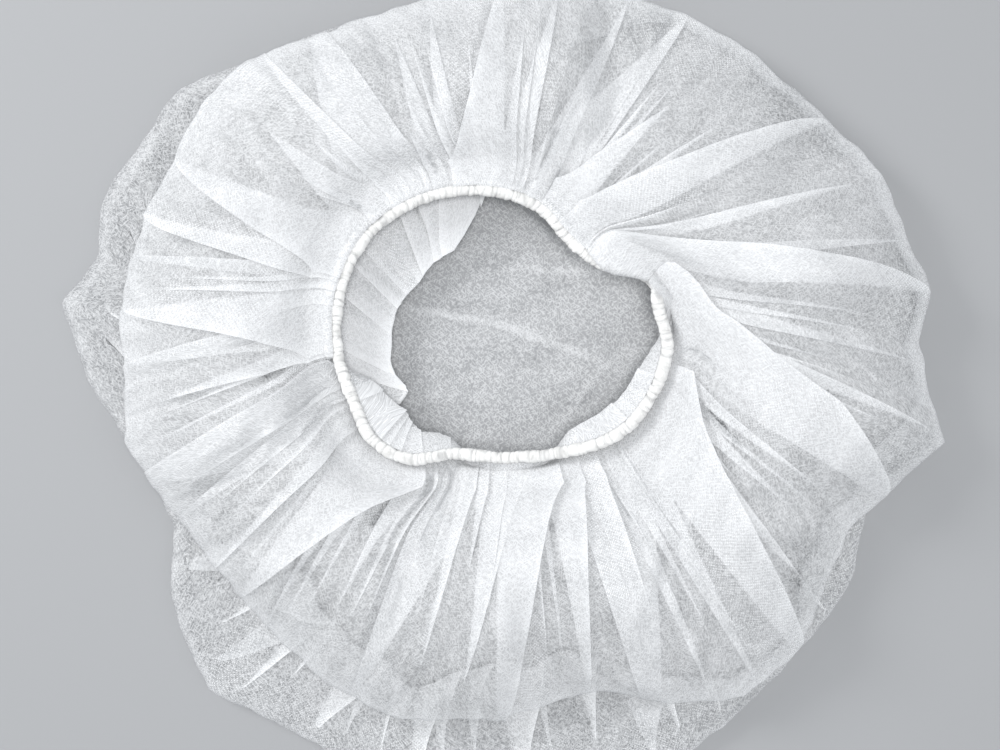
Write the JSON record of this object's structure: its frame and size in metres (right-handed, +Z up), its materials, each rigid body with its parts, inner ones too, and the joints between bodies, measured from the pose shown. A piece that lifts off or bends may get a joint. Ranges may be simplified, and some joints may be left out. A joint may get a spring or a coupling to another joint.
{
  "type": "disposable hair cover cap",
  "caption": "Bouffant hair cover cap of thin white nonwoven, spread with its opening up: flat crown, folded rim and a soft puff gathered into a rolled elastic hem.",
  "frame": {"origin": "middle of the base, on the surface that the spread crown lies on", "axes": "+Z up out of the opening, +X along the widest reach of the spread rim, +Y towards the side that the opening is shifted to"},
  "size_m": [0.3205, 0.2994, 0.0361],
  "materials": {
    "nonwoven_cloth": "thin white spunbonded nonwoven, half see-through, with fine fibre streaks and small bond points",
    "rolled_edging": "the same nonwoven rolled and sewn into an opaque fuzzy edge",
    "white_elastic": "white elastic cord, matte"
  },
  "bodies": {
    "root": {"gathered_sheet": "nonwoven_cloth", "rolled_hem": "rolled_edging", "elastic_cord": "white_elastic"}
  },
  "joints": []
}
